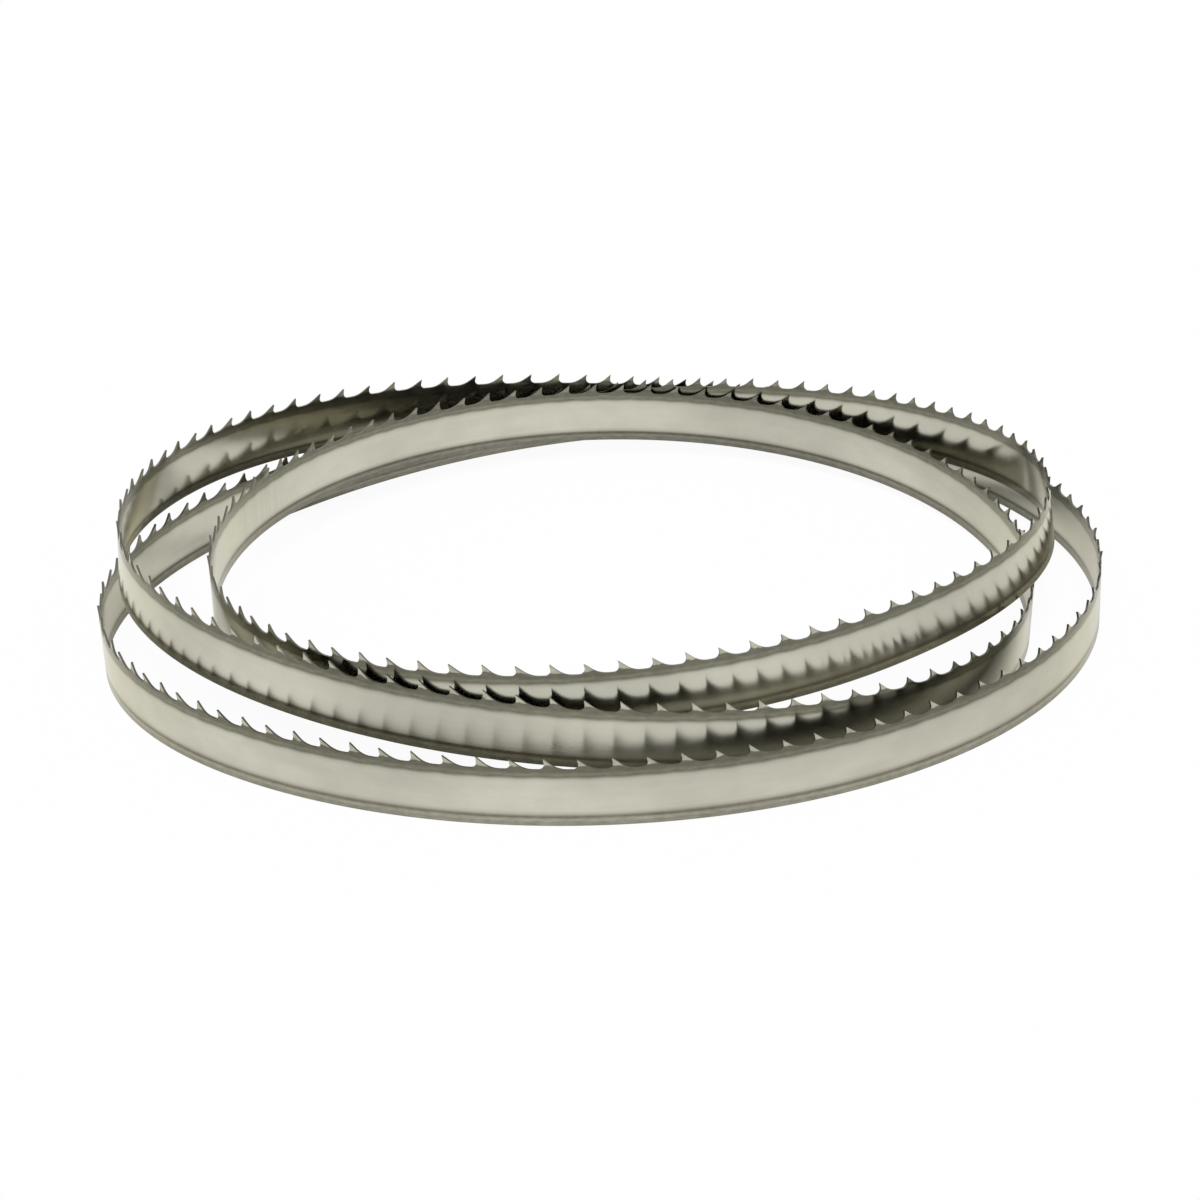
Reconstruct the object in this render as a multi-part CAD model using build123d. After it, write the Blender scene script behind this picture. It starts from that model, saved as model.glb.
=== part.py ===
"""A toothed steel band for a band saw, welded into one endless loop and laid down folded in three turns.

The band is thin and springy. It bends easily across its thickness and hardly at all across its width,
so wherever it goes its width stands square to its own curve. It is built here as a closed chain of flat
tiles, one to a tooth. Each tile lies in the plane of the curve there, and two neighbours meet on the
line in which their planes cross, so the chain is one sheet bent along those lines and nowhere stretched.

Millimetres, +Z up. The back edge of the lowest loop rests on z = 0 and the origin is under the middle of
the coil.
"""

from build123d import *
import os
from math import cos, radians, sin, tan

# The band
band_width = 27.0        # from the tooth tips to the back edge
band_thickness = 0.9
tooth_pairs = 140        # the teeth are bent out in turn, one to the outside and one to the inside

# The teeth, with heights over the bottom of the gullets
gullet_depth = 4.2
gullet_radius = 2.1      # the round corner under the face of a tooth
hook_angle = 8.0         # how far the face leans over its gullet
relief_angle = 37.0      # slope of the straight land behind the tip
relief_length = 3.0      # that land, measured along the band
set_out = 0.45           # how far a tip stands out of the side of the band
first_gullet = 0.42      # where the first gullet lies past the start of the coil, as a share of the pitch

# The coil. The band is followed for three turns, anticlockwise seen from above, from the right hand side.
# A turn has eight stations, and a number is how far from the middle of the coil the station stands. The
# band is drawn smoothly past its stations, like a spline held by weights.
first_turn = [198, 198.5, 196, 221, 209.5, 179.5, 175.5, 184]
second_turn = [160, 177, 201.5, 177.5, 161.5, 182, 169.5, 156]
third_turn = [182, 185, 199, 198, 225, 195, 187.5, 191]
turns = 3

# The coil lies on the floor and climbs twice to pass over itself. These are the heights of the same
# stations over the floor, in storeys. A storey is a band width with its play.
stack_play = 0.6         # between a back edge and the tips of the teeth that it passes over
first_climb = [0.0, 0.2, 0.4, 0.96, 1.16, 0.96, 0.62, 0.12]
second_climb = [0.0, 0.13, 0.39, 0.65, 0.81, 1.02, 1.09, 1.1]
last_descent = [1.07, 0.66, 0.39, 0.1, 0.0, 0.0, 0.0, 0.0]

# Facets of the two round stretches of a tooth, steps in which the route is measured, and how far four
# corners may miss one plane and still make a flat face
corner_facets = 4
back_facets = 2
samples_per_station = 60
flat_within = 1e-6


def blend(values, place):
    """Smooth value at a place in a ring of values, as a uniform cubic B-spline."""
    index = int(place // 1)
    part = place - index
    weights = (
        (1 - part) ** 3 / 6,
        (3 * part**3 - 6 * part**2 + 4) / 6,
        (-3 * part**3 + 3 * part**2 + 3 * part + 1) / 6,
        part**3 / 6,
    )
    return sum(weight * values[(index + step - 1) % len(values)] for step, weight in enumerate(weights))


def coil_route():
    """The line along the middle of the band's width, as a function of the place in the ring of stations."""
    radii = first_turn + second_turn + third_turn
    storey = band_width + stack_play
    heights = [storey * share for share in first_climb + second_climb + last_descent]
    step = 360 * turns / len(radii)

    def route(place):
        radius = blend(radii, place)
        angle = radians(place * step)
        return Vector(radius * cos(angle), radius * sin(angle), blend(heights, place))

    return route, len(radii)


def evenly_spaced(route, length_in_stations, count):
    """Gullets along a closed route, count of them, the same length of band apart, and that length."""
    samples = length_in_stations * samples_per_station
    places = [index / samples_per_station for index in range(samples + 1)]
    travelled = [0.0]
    for before, after in zip(places, places[1:]):
        travelled.append(travelled[-1] + (route(after) - route(before)).length)
    pitch = travelled[-1] / count
    points = []
    sample = 0
    for index in range(count):
        distance = (index + first_gullet) * pitch
        while travelled[sample + 1] < distance:
            sample += 1
        share = (distance - travelled[sample]) / (travelled[sample + 1] - travelled[sample])
        points.append(route(places[sample] + share / samples_per_station))
    return points, pitch


def tooth_outline(pitch):
    """Side view of one tooth, from the lowest point of its gullet to that of the next one.

    A point is (along the band, height). Returns the points, the place in them of the tip and of the two
    ends of the bend line, above which the tooth is bent out.
    """
    corner = []
    for step in range(corner_facets + 1):
        turned = radians(-90 + (90 + hook_angle) * step / corner_facets)
        corner.append((gullet_radius * cos(turned), gullet_radius * (1 + sin(turned))))
    face_x, face_height = corner[-1]
    tip_x = face_x - (gullet_depth - face_height) * tan(radians(hook_angle))
    land_x = tip_x + relief_length
    land_height = gullet_depth - relief_length * tan(radians(relief_angle))
    back_radius = land_height / (1 - cos(radians(relief_angle)))
    root_x = land_x + back_radius * sin(radians(relief_angle))
    back = []
    for step in range(back_facets + 1):
        slope = radians(relief_angle * (1 - step / back_facets))
        back.append((root_x - back_radius * sin(slope), back_radius * (1 - cos(slope))))
    outline = corner + [(tip_x, gullet_depth)] + back + [(pitch, 0.0)]
    tip = len(corner)
    return outline, tip, corner_facets // 2, tip + 1 + back_facets // 2


def bent_out(outline, tip, front, rear):
    """How far each point of a tooth stands out of the band: 0 below the bend line, set_out at the tip."""
    (front_x, front_height), (rear_x, rear_height) = outline[front], outline[rear]

    def above(point):
        along = (point[0] - front_x) / (rear_x - front_x)
        return max(0.0, point[1] - front_height - along * (rear_height - front_height))

    return [set_out * above(point) / above(outline[tip]) for point in outline]


class Fold:
    """The line on which two tiles meet, through a point of the route."""

    def __init__(self, point, binormal, normal_before, normal_after):
        self.point = point
        direction = normal_before.cross(normal_after).normalized()
        self.along = direction * (1 / direction.dot(binormal))
        bisector = (normal_before + normal_after).normalized()
        self.half_wall = bisector * (band_thickness / 2 / bisector.dot(normal_after))

    def at(self, height):
        """Point in the middle of the wall, at a height over the middle of the band's width."""
        return self.point + self.along * height


def four_sided(start_a, end_a, end_b, start_b):
    """Face with these corners in order: flat if they lie in one plane, otherwise ruled between its sides."""
    normal = (end_a - start_a).cross(start_b - start_a).normalized()
    if abs(normal.dot(end_b - start_a)) < flat_within:
        return Face(Wire.make_polygon([start_a, end_a, end_b, start_b]))
    return Face.make_surface_from_curves(Edge.make_line(start_a, end_a), Edge.make_line(start_b, end_b))


def strip(side_a, side_b):
    """Edge faces of the band between two rows of points, one row on each side of it."""
    return [four_sided(*corners) for corners in zip(side_a, side_a[1:], side_b[1:], side_b)]


def tile(fold, next_fold, normal, pitch, outwards):
    """Faces of one tooth and the band under it. outwards is 1 or -1, the side to which the tooth is bent."""
    outline, tip, front, rear = tooth_outline(pitch)
    set_offsets = bent_out(outline, tip, front, rear)
    root = band_width / 2 - gullet_depth
    start, end = fold.at(root), next_fold.at(root)
    along = (end - start) * (1 / pitch)
    across = along.cross(normal).normalized() * -1
    sides = []
    backs = []
    for half in (1, -1):
        row = [start + fold.half_wall * half]
        for (x, height), offset in zip(outline[1:-1], set_offsets[1:-1]):
            out = half * band_thickness / 2 + outwards * offset
            row.append(start + along * x + across * height + normal * out)
        row.append(end + next_fold.half_wall * half)
        sides.append(row)
        backs.append([f.at(-band_width / 2) + f.half_wall * half for f in (fold, next_fold)])
    faces = strip(*sides) + strip(*backs)
    for row, back in zip(sides, backs):
        tooth = row[front:rear + 1]
        below = row[:front + 1] + row[rear:] + back[::-1]
        faces.append(Face(Wire.make_polygon(tooth)))
        faces.append(Face(Wire.make_polygon(below)))
    return faces


def saw_band():
    """The whole band as one closed solid, standing on its lowest back edge over the origin."""
    route, stations = coil_route()
    teeth = 2 * tooth_pairs
    points, pitch = evenly_spaced(route, stations, teeth)
    chords = [(points[(index + 1) % teeth] - points[index]).normalized() for index in range(teeth)]
    binormals = [chords[index - 1].cross(chords[index]).normalized() for index in range(teeth)]
    normals = []
    for index in range(teeth):
        upright = binormals[index] + binormals[(index + 1) % teeth]
        normals.append(chords[index].cross(upright).normalized())
    folds = [Fold(points[i], binormals[i], normals[i - 1], normals[i]) for i in range(teeth)]
    faces = []
    for index in range(teeth):
        outwards = 1 if index % 2 == 0 else -1
        faces += tile(folds[index], folds[(index + 1) % teeth], normals[index], pitch, outwards)
    band = Solid(Shell(faces))
    box = band.bounding_box()
    print(f"band {pitch * teeth:.1f} mm long, pitch {pitch:.3f} mm, volume {band.volume:.0f} mm3")
    return Pos(-box.center().X, -box.center().Y, -box.min.Z) * band


os.makedirs("parts", exist_ok=True)
export_step(saw_band(), "parts/saw_band.step")
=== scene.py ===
"""The finished look of a coiled saw band: its fine mesh, its rolled steel and a small white studio.

The file is laid out as an add-on. Run as a script, it builds the band and the stage in order.
"""

from math import cos, pi, radians, sin, tan

import bmesh
import bpy
import numpy as np
from bpy.props import FloatProperty, FloatVectorProperty, IntProperty, PointerProperty
from bpy.types import Operator, Panel, PropertyGroup
from mathutils import Matrix, Vector
from mathutils.geometry import delaunay_2d_cdt


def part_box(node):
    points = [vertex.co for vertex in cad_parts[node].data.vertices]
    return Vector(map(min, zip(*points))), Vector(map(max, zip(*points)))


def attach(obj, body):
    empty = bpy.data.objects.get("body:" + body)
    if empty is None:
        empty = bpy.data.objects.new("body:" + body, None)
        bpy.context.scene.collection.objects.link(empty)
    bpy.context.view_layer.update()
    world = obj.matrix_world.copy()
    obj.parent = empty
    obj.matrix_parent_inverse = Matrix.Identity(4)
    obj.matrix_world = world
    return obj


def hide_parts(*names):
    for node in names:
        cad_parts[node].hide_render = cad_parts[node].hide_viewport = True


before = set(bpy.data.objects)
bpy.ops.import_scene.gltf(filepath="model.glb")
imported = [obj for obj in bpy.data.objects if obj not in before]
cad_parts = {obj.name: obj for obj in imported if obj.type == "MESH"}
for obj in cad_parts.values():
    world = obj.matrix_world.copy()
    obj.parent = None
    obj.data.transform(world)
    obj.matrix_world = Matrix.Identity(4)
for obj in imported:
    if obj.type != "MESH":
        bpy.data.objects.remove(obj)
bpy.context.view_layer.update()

bl_info = {
    "name": "Coiled saw band",
    "version": (1, 0, 0),
    "blender": (4, 5, 0),
    "location": "3D View > Sidebar > Saw Band",
    "description": "A toothed steel band folded in three turns, its rolled steel finish and a white studio",
    "category": "Object",
}

NODE = "saw_band"
MM = 0.001
TURNS = 3
STATIONS = 8                # to a turn, where the route of the band is given
BAND_MAP = "band"           # UV map: metres from the weld, and over the back edge, under 0 on the inner side
BARE = "bare"               # mesh attribute: from 0 on the bend line of a tooth to 1 at its tip
SIDE_STEEL, CUT_STEEL = 0, 1
SHARP = radians(32)         # faces that turn by more than this meet in a sharp edge
FILM_WIDTH = 36.0
NEAR, FAR = 0.05, 20.0      # what the camera sees, in metres
WHITE = (1, 1, 1, 1)
PAPER = (0.95, 0.95, 0.95, 1)


def number(name, description, default):
    return FloatProperty(name=name, description=description, default=default)


def length(name, description, default):
    return FloatProperty(name=name, description=description, default=default, unit="LENGTH")


def angle(name, description, degrees):
    return FloatProperty(name=name, description=description, default=radians(degrees), subtype="ANGLE")


def colour(name, description, default):
    return FloatVectorProperty(
        name=name, description=description, default=default, size=3, subtype="COLOR", min=0, max=1
    )


def radii(name, description, default):
    """Eight distances from the middle of the coil, with defaults in millimetres."""
    default = [radius * MM for radius in default]
    return FloatVectorProperty(
        name=name, description=description, default=default, size=STATIONS, unit="LENGTH"
    )


def storeys(name, description, default):
    """Eight heights over the floor."""
    return FloatVectorProperty(name=name, description=description, default=default, size=STATIONS)


class BandShape(PropertyGroup):
    """The band itself, and its teeth. Heights are over the bottom of the gullets."""

    width: length("Width", "From the tooth tips to the back edge", 0.027)
    thickness: length("Thickness", "Of the rolled strip", 0.0009)
    tooth_pairs: IntProperty(name="Tooth pairs", description="Teeth bent out and in in turn", default=140)
    gullet_depth: length("Gullet depth", "From a tip down to the gullet", 0.0042)
    gullet_radius: length("Gullet radius", "Round corner under the face of a tooth", 0.0021)
    hook_angle: angle("Hook", "How far the face leans over its gullet", 8)
    relief_angle: angle("Relief", "Slope of the land behind the tip", 37)
    relief_length: length("Land", "Straight land behind the tip, measured along the band", 0.003)
    set_out: length("Set", "How far a tip stands out of the side of the band", 0.00045)
    set_curve: number("Set curve", "1 bends a tooth out straight, more bends it in a curve", 1.25)
    first_gullet: number("First gullet", "Where it lies past the start of the coil, in pitches", 0.42)
    corner: length("Back corners", "Radius of the two corners of the back edge", 0.00028)


class CoilShape(PropertyGroup):
    """The route of the band at each eighth of a turn: how far from the middle it stands, and how high.

    Heights are in storeys over the floor, and a storey is a band width with its play.
    """

    first_turn: radii(
        "First turn", "From the right, anticlockwise", (198, 198.5, 196, 221, 209.5, 179.5, 175.5, 184)
    )
    second_turn: radii(
        "Second turn", "The second time round", (160, 177, 201.5, 177.5, 161.5, 182, 169.5, 156)
    )
    third_turn: radii("Third turn", "The last time round", (182, 185, 199, 198, 225, 195, 187.5, 191))
    stack_play: length("Stack play", "Between a back edge and the tips it passes over", 0.0006)
    first_climb: storeys("First climb", "Over the first turn", (0, 0.2, 0.4, 0.96, 1.16, 0.96, 0.62, 0.12))
    second_climb: storeys(
        "Second climb", "Over the second turn", (0, 0.13, 0.39, 0.65, 0.81, 1.02, 1.09, 1.1)
    )
    last_descent: storeys("Last descent", "Over the third turn", (1.07, 0.66, 0.39, 0.1, 0, 0, 0, 0))


class SteelFinish(PropertyGroup):
    """Colours, places and roughness of the finishes on the band."""

    body: colour("Rolled body", "Bright rolled steel", (0.60, 0.585, 0.49))
    tooth_zone: colour("Tooth zone", "Hardened strip along the teeth", (0.165, 0.16, 0.12))
    tooth_line: colour("Line in the tooth zone", "Lighter line beside its border", (0.225, 0.218, 0.165))
    back_zone: colour("Back stripe", "Dressed strip along the back edge", (0.31, 0.30, 0.24))
    back_line: colour("Line in the back stripe", "Lighter line in its middle", (0.38, 0.365, 0.295))
    border: colour("Back border", "Dark line over the back stripe", (0.21, 0.195, 0.15))
    bare: colour("Bare tips", "Metal of the bent tips", (0.50, 0.485, 0.39))
    cut_edge: colour("Cut edges", "Ground gullets and tooth faces", (0.16, 0.155, 0.125))
    edge_on: colour("Seen edge-on", "Tint of the steel at a low angle", (0.95, 0.935, 0.85))
    tooth_zone_width: length("Tooth zone width", "From the tips down to its border", 0.0074)
    back_zone_width: length("Back stripe width", "From the back edge up to its border", 0.0042)
    border_blur: length("Border blur", "Half the width of the step between two finishes", 0.0004)
    wander: length("Wander", "How far the border of the tooth zone strays", 0.0006)
    ripple: length("Ripple", "How far that border follows the teeth", 0.00012)
    # painted shade: this darkens the back stripe on the inner side of the band
    inner_back_shade: number("Inner back", "Brightness of the back stripe on the inner side", 0.66)
    inner_tips: number("Inner tips", "How much of the bare metal shows on the inner side", 0.35)
    bare_from: number("Bare from", "Where the bare metal begins, from the bend line to the tip", 0.16)
    bare_to: number("Bare to", "Where it is wholly bare", 0.32)
    bare_worn: number("Bare worn", "How far wear moves that border up and down", 0.16)
    weld_at: number("Weld place", "Along the band, as a share of it", 0.4793)
    weld_length: length("Weld", "Length of the patch where the weld is ground smooth", 0.06)
    rubbed_from: length("Rubbed from", "Start of a duller stretch, from the weld", 2.680)
    rubbed_to: length("Rubbed to", "End of that stretch", 2.791)
    rubbed_fade: length("Rubbed fade", "Half the length over which that stretch begins and ends", 0.06)
    body_roughness: number("Body roughness", "Where the rolled body is smoothest", 0.115)
    cloud_roughness: number("Cloud roughness", "Of the duller clouds on the body", 0.15)
    rubbed_roughness: number("Rubbed roughness", "Added on the rubbed stretch", 0.17)
    scratch_roughness: number("Scratch roughness", "Added in the scratches", 0.03)
    ground_roughness: number("Weld roughness", "Of the ground patch at the weld", 0.22)
    dull_roughness: number("Dull roughness", "Of the strips along the teeth and the back", 0.17)
    bare_roughness: number("Bare roughness", "Of the bent tips", 0.22)
    grain: number("Grain", "How much the rolled sides smear what they mirror across the band", 0.9)
    mark_depth: length("Mark depth", "Of the deepest rolling marks", 0.00004)


class StudioSettings(PropertyGroup):
    """The camera and the light."""

    lens: FloatProperty(
        name="Lens", description="Focal length on a 36 mm sensor", default=106.95, subtype="DISTANCE_CAMERA"
    )
    distance: length("Distance", "From the camera to the point it looks at", 1.51)
    elevation: angle("Elevation", "Above the floor", 22.627)
    roll: angle("Roll", "Tilt of the picture", -3.185)
    target: FloatVectorProperty(
        name="Target", description="Point in the middle of the picture", default=(-0.0006, 0.0195, 0),
        subtype="TRANSLATION"
    )
    room: number("Room light", "Share of the light that comes from all round", 0.29)
    window: number("Window light", "Share of the light that comes from one side", 0.71)
    window_from: angle("Window from", "Round to the left from the front", 4)
    window_height: angle("Window height", "Over the floor", 42)
    window_size: angle("Window size", "As seen from the coil", 30)
    floor_keep: number("Floor shade", "How much of the shadow the white floor keeps for the camera", 0.06)
    floor_mirrored: number("Floor in the steel", "Plain white in the floor that the steel mirrors", 0.09)
    floor_reach: length("Floor reach", "From the coil to the edge of the floor", 4.0)


class Shader:
    """A short way to write a node tree: add a node with its values, and link by name."""

    spacing = 200

    def __init__(self, tree):
        self.tree = tree
        self.count = 0

    def node(self, kind, *, settings=None, **inputs):
        node = self.tree.nodes.new(kind)
        node.location = (self.count * self.spacing, 0)
        self.count += 1
        for key, value in (settings or {}).items():
            setattr(node, key, value)
        for key, value in inputs.items():
            self.put(node, key, value)
        return node

    def put(self, node, key, value):
        """Sets or links an input, by its name with _ for spaces, or by its number as in i2."""
        index = int(key[1:]) if key[0] == "i" and key[1:].isdigit() else key.replace("_", " ")
        socket = node.inputs[index]
        if isinstance(value, bpy.types.NodeSocket):
            self.tree.links.new(value, socket)
        else:
            socket.default_value = value

    def math(self, operation, a, b=0.0, c=0.0, clamp=False):
        settings = {"operation": operation, "use_clamp": clamp}
        return self.node("ShaderNodeMath", settings=settings, i0=a, i1=b, i2=c).outputs[0]

    def product(self, *factors):
        result, *others = factors
        for factor in others:
            result = self.math("MULTIPLY", result, factor)
        return result

    def ramp(self, value, low, high, start=0.0, end=1.0):
        """Smooth step of a value from start at low to end at high."""
        node = self.node("ShaderNodeMapRange", settings={"interpolation_type": "SMOOTHSTEP"})
        for index, given in enumerate((value, low, high, start, end)):
            self.put(node, f"i{index}", given)
        return node.outputs[0]

    def spread(self, noise, start, end):
        """Noise stretched to run from start to end."""
        return self.ramp(noise, 0.3, 0.7, start, end)

    def blend(self, share, a, b):
        """Mix of two plain numbers."""
        node = self.node("ShaderNodeMix", settings={"data_type": "FLOAT"})
        for index, given in ((0, share), (2, a), (3, b)):
            self.put(node, f"i{index}", given)
        return node.outputs[0]

    def mix(self, share, a, b):
        """Mix of two colours."""
        node = self.node("ShaderNodeMix", settings={"data_type": "RGBA"})
        for index, given in ((0, share), (6, a), (7, b)):
            self.put(node, f"i{index}", given)
        return node.outputs[2]

    def stops(self, share, colours):
        """Colour at a share from 0 to 1, from (share, colour) stops."""
        node = self.node("ShaderNodeValToRGB", Fac=share)
        marks = node.color_ramp.elements
        while len(marks) < len(colours):
            marks.new(0.5)
        for mark, (place, shade) in zip(marks, colours):
            mark.position = place
            mark.color = (*shade, 1)
        return node.outputs[0]

    def grains(self, place, along, across, detail=2.0, rough=0.5, shift=(0, 0, 0)):
        """Noise with so many grains to a metre along and across the band."""
        settings = {"operation": "MULTIPLY_ADD"}
        scaled = self.node(
            "ShaderNodeVectorMath", settings=settings, i0=place, i1=(along, across, 1), i2=shift
        ).outputs[0]
        return self.node(
            "ShaderNodeTexNoise", Vector=scaled, Scale=1.0, Detail=detail, Roughness=rough
        ).outputs[0]

    def shaded(self, shade, tone):
        """A colour made brighter or darker by a tone."""
        settings = {"operation": "SCALE"}
        return self.node("ShaderNodeVectorMath", settings=settings, i0=shade, Scale=tone).outputs[0]

    def band_place(self):
        """The place on the band: along it, and over its back edge."""
        return self.node("ShaderNodeUVMap", settings={"uv_map": BAND_MAP}).outputs[0]

    def shiny_rays(self, light):
        """1 for a ray that comes off or through something shiny."""
        return self.math("MAXIMUM", light["Is Glossy Ray"], light["Is Transmission Ray"])


def new_group(name, inputs, outputs):
    """An empty node group with these sockets, and its first and last nodes."""
    tree = bpy.data.node_groups.new(name, "ShaderNodeTree")
    for label, kind, default in inputs:
        socket = tree.interface.new_socket(label, in_out="INPUT", socket_type=kind)
        if default is not None:
            socket.default_value = default
    for label, kind in outputs:
        tree.interface.new_socket(label, in_out="OUTPUT", socket_type=kind)
    s = Shader(tree)
    return tree, s, s.node("NodeGroupInput").outputs, s.node("NodeGroupOutput")


def use_group(s, tree, **inputs):
    node = s.node("ShaderNodeGroup", settings={"node_tree": tree})
    for key, value in inputs.items():
        s.put(node, key, value)
    return node.outputs


def new_material(name):
    """An empty material, with its shader and its output node."""
    material = bpy.data.materials.new(name)
    material.use_nodes = True
    material.node_tree.nodes.clear()
    s = Shader(material.node_tree)
    return material, s, s.node("ShaderNodeOutputMaterial")


def rolling_marks():
    """Group: faint lines along the band from the rolls, clouds of duller steel, and a few fine scratches."""
    name = "Rolling marks"
    if name in bpy.data.node_groups:
        return bpy.data.node_groups[name]
    tree, s, given, result = new_group(
        name,
        [("Along and across", "NodeSocketVector", None), ("Depth", "NodeSocketFloat", 1.0)],
        [(label, "NodeSocketFloat") for label in ("Lines", "Clouds", "Scratches", "Height")],
    )
    place = given["Along and across"]
    fine = s.grains(place, 6, 2600, 3.0, 0.6)
    broad = s.grains(place, 14, 420, 2.0, 0.5)
    scratches = s.ramp(s.grains(place, 95, 900, 1.0, 0.4, shift=(3, 7, 0)), 0.70, 0.76)
    s.put(result, "Lines", s.blend(0.45, fine, broad))
    s.put(result, "Clouds", s.grains(place, 60, 110, 3.0, 0.55))
    s.put(result, "Scratches", scratches)
    s.put(result, "Height", s.product(s.math("SUBTRACT", fine, scratches), given["Depth"]))
    return tree


def colours_across(finish, width):
    """Colour stops from the back edge up to the tips, as (share of the width, colour)."""
    back_border = finish.back_zone_width
    tooth_border = width - finish.tooth_zone_width
    heights = [
        (0.0, finish.back_zone, 0.8),
        (0.0006, finish.back_zone, 1.0),
        (0.0016, finish.back_zone, 0.97),
        (0.0021, finish.back_line, 1.0),
        (0.0028, finish.back_line, 0.95),
        (back_border - 0.0007, finish.border, 1.0),
        (back_border - 0.0003, finish.border, 1.05),
        (back_border + 0.0008, finish.body, 0.82),
        (0.0062, finish.body, 1.0),
        (0.0105, finish.body, 1.02),
        (0.0175, finish.body, 0.96),
        (tooth_border - 0.0008, finish.body, 0.86),
        (tooth_border + 0.0002, finish.tooth_line, 1.1),
        (tooth_border + 0.0006, finish.tooth_zone, 1.12),
        (tooth_border + 0.0012, finish.tooth_line, 1.0),
        (tooth_border + 0.0018, finish.tooth_line, 0.93),
        (tooth_border + 0.0025, finish.tooth_zone, 1.0),
    ]
    return [(height / width, [part * bright for part in shade]) for height, shade, bright in heights]


class SideMasks:
    """Places on the sides of the band, and where the finishes lie there, each mask from 0 to 1."""

    def __init__(self, s, finish, shape, route):
        place = s.band_place()
        parts = s.node("ShaderNodeSeparateXYZ", i0=place).outputs
        self.place, self.along, self.height = place, parts[0], s.math("ABSOLUTE", parts[1])
        self.outer = s.math("GREATER_THAN", parts[1], 0.0)
        self.inner = s.math("SUBTRACT", 1.0, self.outer)
        blur = finish.border_blur
        tooth_border = shape.width - finish.tooth_zone_width
        in_teeth = s.ramp(self.height, tooth_border - blur, tooth_border + blur)
        self.back = s.ramp(self.height, finish.back_zone_width + blur, finish.back_zone_width - blur)
        self.dull = s.math("MAXIMUM", in_teeth, self.back)
        bent = s.node("ShaderNodeAttribute", settings={"attribute_name": BARE}).outputs["Fac"]
        worn = s.spread(s.grains(place, 180, 400, 3.0, 0.6), -finish.bare_worn, finish.bare_worn)
        tips = s.ramp(s.math("ADD", bent, worn), finish.bare_from, finish.bare_to)
        self.bare = s.product(tips, s.blend(self.outer, finish.inner_tips, 1.0))
        from_weld = s.math("MINIMUM", self.along, s.math("SUBTRACT", route.whole, self.along))
        self.ground = s.ramp(from_weld, finish.weld_length / 2, finish.weld_length / 4)
        fade = finish.rubbed_fade
        begins = s.ramp(self.along, finish.rubbed_from - fade, finish.rubbed_from + fade)
        ends = s.ramp(self.along, finish.rubbed_to - fade, finish.rubbed_to + fade)
        self.rubbed = s.product(s.math("SUBTRACT", begins, ends), self.outer)


def side_colour(s, masks, marks, finish, shape, route):
    """Colour of the sides: the strips across the width, with the marks and the wear over them, and painted
    shade on the back stripe of the inner side.
    """
    teeth = s.math("SINE", s.product(masks.along, 2 * pi / route.pitch))
    slow = s.grains(masks.place, 35, 0)
    stray = s.math("MULTIPLY_ADD", teeth, finish.ripple, -finish.wander / 2)
    stray = s.math("MULTIPLY_ADD", slow, finish.wander, stray)
    upper_half = s.ramp(masks.height, 0.4 * shape.width, 0.6 * shape.width)
    share = s.math("DIVIDE", s.math("MULTIPLY_ADD", stray, upper_half, masks.height), shape.width)
    strips = s.stops(share, colours_across(finish, shape.width))

    cloudy = s.spread(marks["Clouds"], 0.96, 1.04)
    lined = s.spread(marks["Lines"], 0.975, 1.02)
    drift = s.ramp(s.grains(masks.place, 9, 16, 1.0), 0.32, 0.66, 0.86, 1.04)
    patchy = s.ramp(s.grains(masks.place, 240, 700, 4.0, 0.6), 0.3, 0.72, 0.88, 1.14)
    strokes = s.spread(s.grains(masks.place, 300, 9, 2.0, 0.6), 0.95, 1.03)
    tone = s.product(cloudy, lined, drift, s.blend(masks.dull, 1.0, patchy))
    tone = s.blend(masks.ground, tone, strokes)
    # painted shade: the back stripe on the inner side is drawn darker
    tone = s.product(tone, s.blend(s.product(masks.back, masks.inner), 1.0, finish.inner_back_shade))
    return s.shaded(s.mix(masks.bare, strips, (*finish.bare, 1)), tone)


def side_roughness(s, masks, marks, finish):
    """How dull the sides are: smooth body, with its clouds, scratches and rubbed and ground places."""
    smooth = s.spread(marks["Clouds"], finish.body_roughness, finish.cloud_roughness)
    smooth = s.math("MULTIPLY_ADD", masks.rubbed, finish.rubbed_roughness, smooth)
    smooth = s.blend(masks.ground, smooth, finish.ground_roughness)
    scratched = s.math("MULTIPLY_ADD", marks["Scratches"], finish.scratch_roughness, smooth)
    return s.blend(masks.bare, s.blend(masks.dull, scratched, finish.dull_roughness), finish.bare_roughness)


def side_steel(finish, shape, route):
    """Bright rolled body, dull strips along the teeth and the back, and bare bright metal on the bent tips.

    The steel mirrors sharply along the band and smears across it, because the rolls leave their lines there.
    """
    material, s, output = new_material("rolled_band_steel")
    masks = SideMasks(s, finish, shape, route)
    marks = use_group(s, rolling_marks(), Along_and_across=masks.place, Depth=1.0)
    bump = s.node("ShaderNodeBump", Height=marks["Height"], Strength=0.06, Distance=finish.mark_depth)
    grain = s.node("ShaderNodeTangent", settings={"direction_type": "UV_MAP", "uv_map": BAND_MAP})
    metal = s.node(
        "ShaderNodeBsdfPrincipled",
        Base_Color=side_colour(s, masks, marks, finish, shape, route),
        Roughness=side_roughness(s, masks, marks, finish),
        Metallic=1.0,
        Normal=bump.outputs[0],
        Anisotropic=finish.grain,
        Anisotropic_Rotation=0.25,
        Tangent=grain.outputs[0],
        Specular_Tint=(*finish.edge_on, 1),
    )
    s.put(output, "Surface", metal.outputs[0])
    return material


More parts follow.
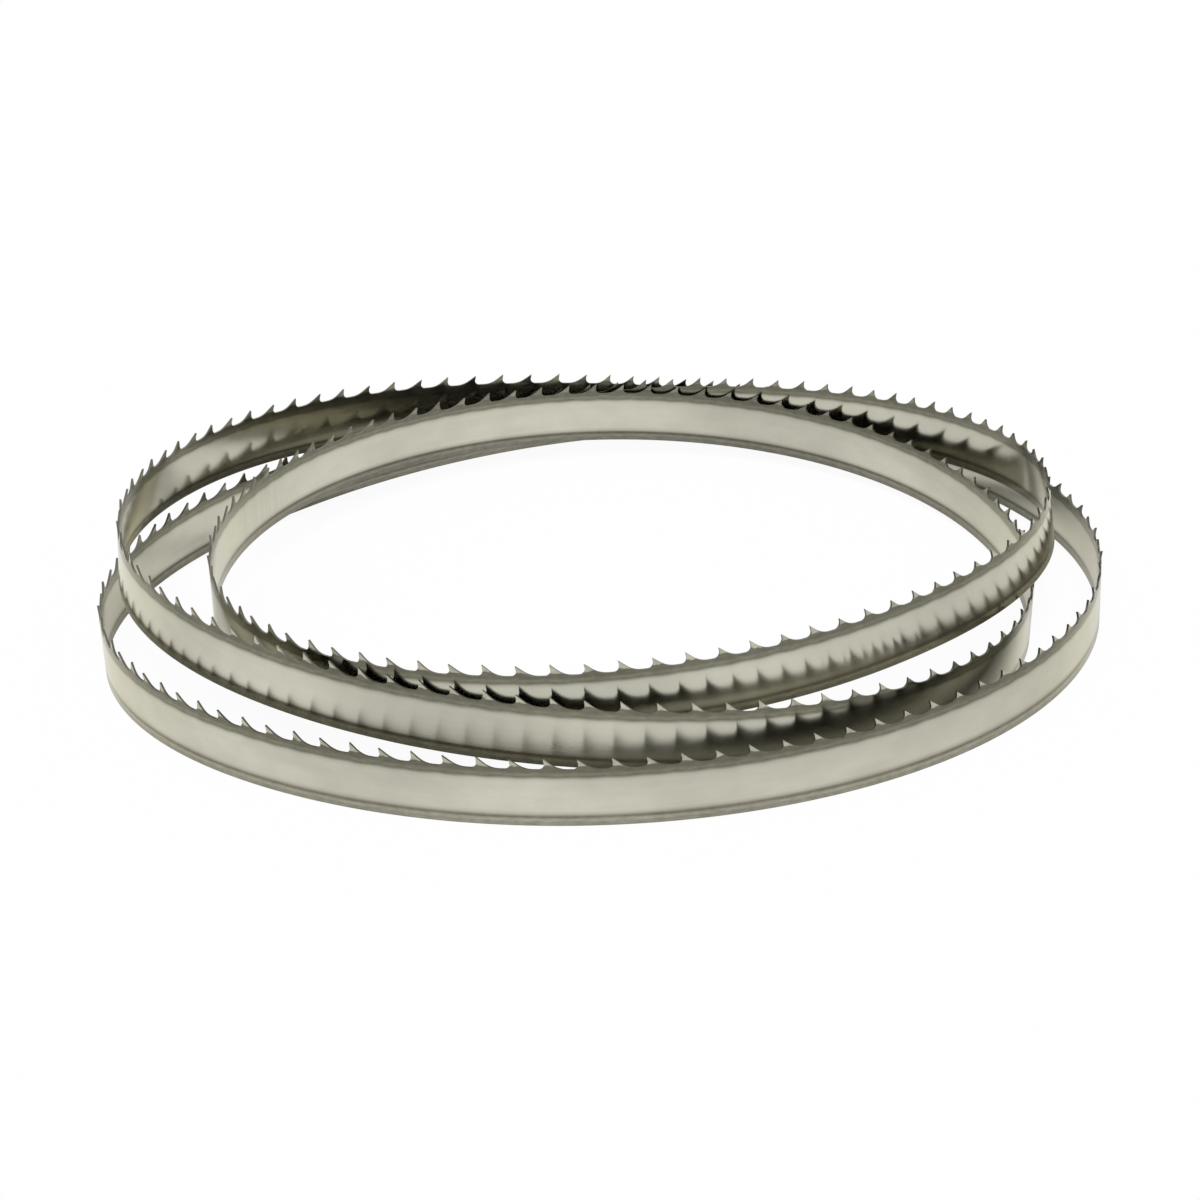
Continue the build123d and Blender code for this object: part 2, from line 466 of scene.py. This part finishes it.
def cut_steel(finish):
    """Ground surfaces across the thickness: gullets, tooth faces and the back edge."""
    material, s, output = new_material("ground_edge_steel")
    marks = use_group(s, rolling_marks(), Along_and_across=s.band_place(), Depth=1.0)
    bump = s.node("ShaderNodeBump", Height=marks["Height"], Strength=0.2, Distance=finish.mark_depth)
    metal = s.node(
        "ShaderNodeBsdfPrincipled",
        Base_Color=s.shaded((*finish.cut_edge,), s.spread(marks["Clouds"], 0.8, 1.15)),
        Roughness=s.spread(marks["Lines"], 0.30, 0.42),
        Metallic=1.0,
        Normal=bump.outputs[0],
    )
    s.put(output, "Surface", metal.outputs[0])
    return material


def spline_ring(values, places):
    """Smooth values at places in a ring of values, as a uniform cubic B-spline."""
    values = np.asarray(values, float)
    index = np.floor(places).astype(int)
    part = places - index
    weights = (
        (1 - part) ** 3 / 6,
        (3 * part**3 - 6 * part**2 + 4) / 6,
        (-3 * part**3 + 3 * part**2 + 3 * part + 1) / 6,
        part**3 / 6,
    )
    return sum(weight * values[(index + step - 1) % len(values)] for step, weight in enumerate(weights))


def unit(vectors):
    return vectors / np.linalg.norm(vectors, axis=1)[:, None]


def dot(a, b):
    """Products of the vectors of two rows, one by one."""
    return np.einsum("ij,ij->i", a, b)


class Route:
    """The line along the middle of the band's width, and the lines across it in which it is straight."""

    samples_per_station = 400
    travel_step = 0.4 * MM      # to each side, for the direction of travel
    bend_step = 4.0 * MM        # to each side, for the plane in which the route bends
    slant_passes = 6

    def __init__(self, shape, coil):
        self.radii = [*coil.first_turn, *coil.second_turn, *coil.third_turn]
        storey = shape.width + coil.stack_play
        self.heights = [storey * h for h in (*coil.first_climb, *coil.second_climb, *coil.last_descent)]
        self.step = 360 * TURNS / len(self.radii)
        self.root = shape.width / 2 - shape.gullet_depth
        self.places = np.arange(len(self.radii) * self.samples_per_station + 1) / self.samples_per_station
        steps = np.linalg.norm(np.diff(self.at_place(self.places), axis=0), axis=1)
        self.travelled = np.concatenate([[0], np.cumsum(steps)])
        self.whole = self.travelled[-1]
        self.count = 2 * shape.tooth_pairs
        self.pitch = self.whole / self.count
        self.start = shape.first_gullet * self.pitch
        self.slants = self.fold_slants()

    def at_place(self, places):
        """Points of the route at places in the ring of stations."""
        radius, height = spline_ring(self.radii, places), spline_ring(self.heights, places)
        turned = np.radians(places * self.step)
        return np.stack([radius * np.cos(turned), radius * np.sin(turned), height], 1)

    def at(self, distance):
        """Points of the route at distances along it from the first gullet."""
        return self.at_place(np.interp((distance + self.start) % self.whole, self.travelled, self.places))

    def fold_slants(self):
        """Slant along the band of the line across it at each gullet, as a share of the height."""
        points = self.at(np.arange(self.count) * self.pitch)
        chords = unit(np.roll(points, -1, axis=0) - points)
        upright = unit(np.cross(np.roll(chords, 1, axis=0), chords))
        normals = np.cross(chords, upright + np.roll(upright, -1, axis=0))
        lines = np.cross(np.roll(normals, 1, axis=0), normals)
        lines /= dot(lines, upright)[:, None]
        return dot(lines, unit(chords + np.roll(chords, 1, axis=0)))

    def slant(self, distance):
        return spline_ring(self.slants, distance / self.pitch % self.count)

    def axes(self, distance):
        """Points of the route, with the direction of travel, the width and the outward side of the band."""
        here = self.at(distance)
        travel = unit(self.at(distance + self.travel_step) - self.at(distance - self.travel_step))
        before, after = self.at(distance - self.bend_step), self.at(distance + self.bend_step)
        upright = np.cross(here - before, after - here)
        upright = unit(upright - travel * dot(upright, travel)[:, None])
        return here, travel, upright, np.cross(travel, upright)

    def surface(self, flat, height, out):
        """Points of the bent band.

        flat is measured along the flat strip at the root of the teeth, and height over the middle of the
        width. out is the distance from the middle of the wall.
        """
        start = flat + self.slant(flat) * self.root
        distance = flat
        for _ in range(self.slant_passes):
            distance = start - self.slant(distance) * height
        here, travel, upright, outward = self.axes(distance)
        line = upright + travel * self.slant(distance)[:, None]
        return here + line * height[:, None] + outward * out[:, None]


def tooth_outline(shape, pitch):
    """Side view of one tooth from gullet to gullet, as (along, height), and the two ends of its bend line."""
    corner_facets, land_facets, back_facets, flat_facets = 10, 3, 6, 3
    corner = []
    for step in range(corner_facets + 1):
        turned = -pi / 2 + (pi / 2 + shape.hook_angle) * step / corner_facets
        corner.append((shape.gullet_radius * cos(turned), shape.gullet_radius * (1 + sin(turned))))
    face_x, face_height = corner[-1]
    tip_x = face_x - (shape.gullet_depth - face_height) * tan(shape.hook_angle)
    land_height = shape.gullet_depth - shape.relief_length * tan(shape.relief_angle)
    back_radius = land_height / (1 - cos(shape.relief_angle))
    root_x = tip_x + shape.relief_length + back_radius * sin(shape.relief_angle)
    face = [((face_x + tip_x) / 2, (face_height + shape.gullet_depth) / 2)]
    land = []
    for step in range(land_facets):
        share = step / land_facets
        fall = share * (shape.gullet_depth - land_height)
        land.append((tip_x + share * shape.relief_length, shape.gullet_depth - fall))
    back = []
    for step in range(back_facets + 1):
        slope = shape.relief_angle * (1 - step / back_facets)
        back.append((root_x - back_radius * sin(slope), back_radius * (1 - cos(slope))))
    flat = [(root_x + (pitch - root_x) * (step + 1) / flat_facets, 0.0) for step in range(flat_facets)]
    outline = corner + face + land + back + flat
    return outline, corner_facets // 2, len(corner + face + land) + back_facets // 2


def between(start, end, share):
    """The point a share of the way from start to end."""
    return tuple(a + (b - a) * share for a, b in zip(start, end))


class FlatTooth:
    """One tooth and the band below it, lying flat: its points, triangles, rim and back row.

    Heights are over the bottom of the gullets. bare is 0 up to the bend line and grows to 1 at the tip.
    """

    columns = 8
    row_depths = [depth * MM for depth in (0.7, 1.8, 3.4, 6.5, 11, 15, 18.2)]
    bend_parts = 6
    bent_rows = ((0.2, 4), (0.42, 3), (0.64, 2))    # share of the way up to the tip, and points in the row
    root_points = (                                 # under the bend line, in mm, to keep triangles even
        (3.0, 0.3), (4.5, 0.3), (6.0, 0.25), (1.2, -0.3), (3.0, -0.3), (5.0, -0.3), (7.0, -0.2), (8.7, 0.0),
        (10.6, -0.35),
    )

    def __init__(self, shape, pitch):
        outline, front, rear = tooth_outline(shape, pitch)
        tip = max(outline, key=lambda point: point[1])
        bend_start, bend_end = outline[front], outline[rear]
        points = list(outline)

        def add(point):
            points.append(point)
            return len(points) - 1

        back = shape.gullet_depth + shape.corner - shape.width
        rows = []
        for height in [-depth for depth in self.row_depths] + [back]:
            rows.append([add((pitch * c / self.columns, height)) for c in range(self.columns + 1)])
        left = [0] + [row[0] for row in rows]
        right = [len(outline) - 1] + [row[-1] for row in rows]
        shares = [step / self.bend_parts for step in range(1, self.bend_parts)]
        bend = [front] + [add(between(bend_start, bend_end, share)) for share in shares] + [rear]
        for up, count in self.bent_rows:
            for k in range(count):
                foot = between(bend_start, bend_end, (k + 0.7) / (count + 0.4))
                add(between(foot, tip, up))
        for x, height in self.root_points:
            add((x * MM, height * MM))
        edges = []
        for line in (range(len(outline)), left, right, rows[-1], bend):
            edges += list(zip(line, line[1:]))
        inside_only, tolerance = 1, 1e-9
        found = delaunay_2d_cdt([Vector(point) for point in points], edges, [], inside_only, tolerance)
        new_index = {old: new for new, olds in enumerate(found[3]) for old in olds}
        self.points = np.array([tuple(point) for point in found[0]])
        self.triangles = found[2]
        self.rim = [new_index[i] for i in range(len(outline))]
        self.back_row = [new_index[i] for i in rows[-1]]
        above = self.over_line(self.points, bend_start, bend_end)
        top = self.over_line(np.array([tip]), bend_start, bend_end)
        self.bare = np.maximum(0, above) / top

    @staticmethod
    def over_line(points, start, end):
        """How high points lie over the line from start to end."""
        slope = (end[1] - start[1]) / (end[0] - start[0])
        return points[:, 1] - start[1] - (points[:, 0] - start[0]) * slope


class SteelTooth:
    """The steel of one tooth and the band below it: two sides, the rim and the rounded back edge.

    along, height and out place each point on the flat strip, before the tooth is bent out.
    """

    corner_angles = [radians(degrees) for degrees in (30, 60, 90)]

    def __init__(self, shape, pitch):
        flat = FlatTooth(shape, pitch)
        half, radius = shape.thickness / 2, shape.corner
        self.over_back = shape.width - shape.gullet_depth
        size, width = len(flat.points), len(flat.back_row)
        back_x = flat.points[flat.back_row, 0]
        blocks = [(flat.points[:, 0], flat.points[:, 1], half * side, flat.bare) for side in (1, -1)]
        for side in (1, -1):
            for turned in self.corner_angles:
                height = radius * (1 - sin(turned)) - self.over_back
                out = side * (half - radius * (1 - cos(turned)))
                blocks.append((back_x, np.full(width, height), out, np.zeros(width)))
        self.along = np.concatenate([block[0] for block in blocks])
        self.height = np.concatenate([block[1] for block in blocks])
        self.out = np.concatenate([np.full(len(block[0]), block[2]) for block in blocks])
        self.bare = np.concatenate([block[3] for block in blocks])

        self.faces, self.finishes, self.sides = [], [], []
        for triangle in flat.triangles:
            self.add(triangle[::-1], SIDE_STEEL, 1)
            self.add([size + c for c in triangle], SIDE_STEEL, -1)
        for a, b in zip(flat.rim, flat.rim[1:]):
            self.add([a, b, size + b, size + a], CUT_STEEL, 1)
        rows = [[2 * size + k * width + c for c in range(width)] for k in range(2 * len(self.corner_angles))]
        outer = [flat.back_row] + rows[:len(self.corner_angles)]
        inner = [[size + c for c in flat.back_row]] + rows[len(self.corner_angles):]
        for upper, lower in zip(outer, outer[1:]):
            self.add_strip(upper, lower, SIDE_STEEL, 1)
        for upper, lower in zip(inner, inner[1:]):
            self.add_strip(lower, upper, SIDE_STEEL, -1)
        self.add_strip(outer[-1], inner[-1], CUT_STEEL, 1)

    def add(self, corners, finish, side):
        self.faces.append(list(corners))
        self.finishes.append(finish)
        self.sides.append(side)

    def add_strip(self, upper, lower, finish, side):
        for c in range(len(upper) - 1):
            self.add([upper[c], upper[c + 1], lower[c + 1], lower[c]], finish, side)


def band_mesh(shape, route, finish):
    """Points, faces, map, finishes and bare values of the whole band, tooth by tooth."""
    tooth = SteelTooth(shape, route.pitch)
    corners = np.concatenate(tooth.faces)
    sides = np.repeat(tooth.sides, [len(face) for face in tooth.faces])
    map_height = sides * (tooth.height + tooth.over_back)[corners]
    points, faces, band_map = [], [], []
    for index in range(route.count):
        distance = index * route.pitch
        outwards = 1 if index % 2 == 0 else -1
        bent = outwards * shape.set_out * tooth.bare**shape.set_curve
        points.append(route.surface(distance + tooth.along, tooth.height + route.root, tooth.out + bent))
        first = index * len(tooth.along)
        faces += [[first + c for c in face] for face in tooth.faces]
        from_weld = (distance / route.whole - finish.weld_at) % 1.0 * route.whole
        band_map.append(np.stack([from_weld + tooth.along[corners], map_height], 1))
    bare = np.tile(tooth.bare, route.count)
    return np.concatenate(points), faces, np.concatenate(band_map), tooth.finishes * route.count, bare


def place_in_frame(points):
    """The points moved so that they stand where the plain solid stands."""
    allowed = 0.5 * MM
    low, high = (np.array(corner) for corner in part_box(NODE))
    shift = (low + high) / 2 - (points.min(0) + points.max(0)) / 2
    shift[2] = low[2] - points[:, 2].min()
    moved = points + shift
    worst = max(abs(moved.min(0) - low).max(), abs(moved.max(0) - high).max())
    if worst > allowed:
        raise RuntimeError(f"the band misses its solid by {worst / MM:.2f} mm: its shape values differ")
    return moved


def join_teeth(mesh):
    """Joins the points that neighbouring teeth share, and makes sure that the band is closed."""
    work = bmesh.new()
    work.from_mesh(mesh)
    bmesh.ops.remove_doubles(work, verts=work.verts, dist=0.02 * MM)
    open_edges = [edge for edge in work.edges if len(edge.link_faces) != 2]
    if open_edges:
        raise RuntimeError(f"the band's mesh isn't closed: {len(open_edges)} open edges")
    work.to_mesh(mesh)
    work.free()


class SAWBAND_OT_band(Operator):
    """Make the toothed band, in three turns, with its steel"""

    bl_idname = "sawband.band"
    bl_label = "Toothed band"

    def execute(self, context):
        scene = context.scene
        shape, finish = scene.band_shape, scene.steel_finish
        route = Route(shape, scene.coil_shape)
        points, faces, band_map, finishes, bare = band_mesh(shape, route, finish)
        mesh = bpy.data.meshes.new("band_of_steel")
        mesh.from_pydata(place_in_frame(points).tolist(), [], faces)
        mesh.uv_layers.new(name=BAND_MAP).uv.foreach_set("vector", band_map.ravel())
        mesh.materials.append(side_steel(finish, shape, route))
        mesh.materials.append(cut_steel(finish))
        mesh.polygons.foreach_set("material_index", finishes)
        mesh.attributes.new(BARE, "FLOAT", "POINT").data.foreach_set("value", bare)
        join_teeth(mesh)
        mesh.shade_smooth()
        mesh.set_sharp_from_angle(angle=SHARP)
        piece = bpy.data.objects.new("toothed_band", mesh)
        scene.collection.objects.link(piece)
        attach(piece, "root")
        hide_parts(NODE)
        return {"FINISHED"}


class SAWBAND_OT_studio(Operator):
    """Make the white floor, the soft light and the camera"""

    bl_idname = "sawband.studio"
    bl_label = "White studio"

    def execute(self, context):
        scene, studio = context.scene, context.scene.studio_settings
        self.floor(scene, studio)
        self.room(scene, studio)
        self.window(scene, studio)
        self.camera(scene, studio)
        scene.view_settings.view_transform = "Standard"
        return {"FINISHED"}

    def floor(self, scene, studio):
        """White for the camera, with a little of the coil's shadow, and plain lit paper in the steel."""
        material, s, output = new_material("white_floor")
        light = s.node("ShaderNodeLightPath").outputs
        camera = s.product(light["Is Camera Ray"], 1 - studio.floor_keep)
        share = s.math("MULTIPLY_ADD", s.shiny_rays(light), studio.floor_mirrored, camera)
        paper = s.node("ShaderNodeBsdfDiffuse", Color=PAPER)
        glow = s.node("ShaderNodeEmission", Color=WHITE, Strength=1.0)
        mixed = s.node("ShaderNodeMixShader", i0=share, i1=paper.outputs[0], i2=glow.outputs[0])
        s.put(output, "Surface", mixed.outputs[0])
        reach = studio.floor_reach
        mesh = bpy.data.meshes.new("floor")
        corners = [(-reach, -reach, 0), (reach, -reach, 0), (reach, reach, 0), (-reach, reach, 0)]
        mesh.from_pydata(corners, [], [(0, 1, 2, 3)])
        mesh.materials.append(material)
        floor = bpy.data.objects.new("floor", mesh)
        scene.collection.objects.link(floor)

    def room(self, scene, studio):
        """White for the camera and in the steel, and a weaker light from all round on everything."""
        world = bpy.data.worlds.new("white_room")
        world.use_nodes = True
        world.node_tree.nodes.clear()
        s = Shader(world.node_tree)
        output = s.node("ShaderNodeOutputWorld")
        light = s.node("ShaderNodeLightPath").outputs
        seen = s.math("MAXIMUM", light["Is Camera Ray"], s.shiny_rays(light))
        straight = s.math("SUBTRACT", seen, light["Diffuse Depth"], clamp=True)
        room = s.node("ShaderNodeBackground", Color=WHITE, Strength=s.blend(straight, studio.room, 1.0))
        s.put(output, "Surface", room.outputs[0])
        scene.world = world

    def window(self, scene, studio):
        """One wide soft light. The steel mirrors the white room in its place."""
        data = bpy.data.lights.new("window", "SUN")
        data.angle = studio.window_size
        data.energy = studio.window * pi / sin(studio.window_height)
        lamp = bpy.data.objects.new("window", data)
        lamp.visible_glossy = False
        lamp.rotation_euler = (pi / 2 - studio.window_height, 0, -studio.window_from)
        scene.collection.objects.link(lamp)

    def camera(self, scene, studio):
        data = bpy.data.cameras.new("camera")
        data.lens = studio.lens
        data.sensor_width = FILM_WIDTH
        data.clip_start, data.clip_end = NEAR, FAR
        camera = bpy.data.objects.new("camera", data)
        height, roll = studio.elevation, studio.roll
        back = Vector((0, -cos(height), sin(height)))
        right, up = Vector((1, 0, 0)), Vector((0, sin(height), cos(height)))
        across = right * cos(roll) + up * sin(roll)
        upwards = up * cos(roll) - right * sin(roll)
        turn = Matrix((across, upwards, back)).transposed().to_4x4()
        camera.matrix_world = Matrix.Translation(Vector(studio.target) + back * studio.distance) @ turn
        scene.collection.objects.link(camera)
        scene.camera = camera


GROUPS = {
    BandShape: "band_shape",
    CoilShape: "coil_shape",
    SteelFinish: "steel_finish",
    StudioSettings: "studio_settings",
}
MAKERS = (SAWBAND_OT_band, SAWBAND_OT_studio)


class SAWBAND_PT_panel(Panel):
    """Sizes, colours and the makers of each piece"""

    bl_idname = "SAWBAND_PT_panel"
    bl_label = "Saw Band"
    bl_space_type = "VIEW_3D"
    bl_region_type = "UI"
    bl_category = "Saw Band"

    def draw(self, context):
        for group, settings in GROUPS.items():
            box = self.layout.box()
            for name in group.__annotations__:
                box.prop(getattr(context.scene, settings), name)
        for maker in MAKERS:
            self.layout.operator(maker.bl_idname)


def register():
    for group, settings in GROUPS.items():
        bpy.utils.register_class(group)
        setattr(bpy.types.Scene, settings, PointerProperty(type=group))
    for kind in (*MAKERS, SAWBAND_PT_panel):
        bpy.utils.register_class(kind)


def unregister():
    for kind in (SAWBAND_PT_panel, *reversed(MAKERS)):
        bpy.utils.unregister_class(kind)
    for group, settings in reversed(GROUPS.items()):
        delattr(bpy.types.Scene, settings)
        bpy.utils.unregister_class(group)


def main():
    register()
    bpy.ops.sawband.band()
    bpy.ops.sawband.studio()


if __name__ == "__main__":
    main()
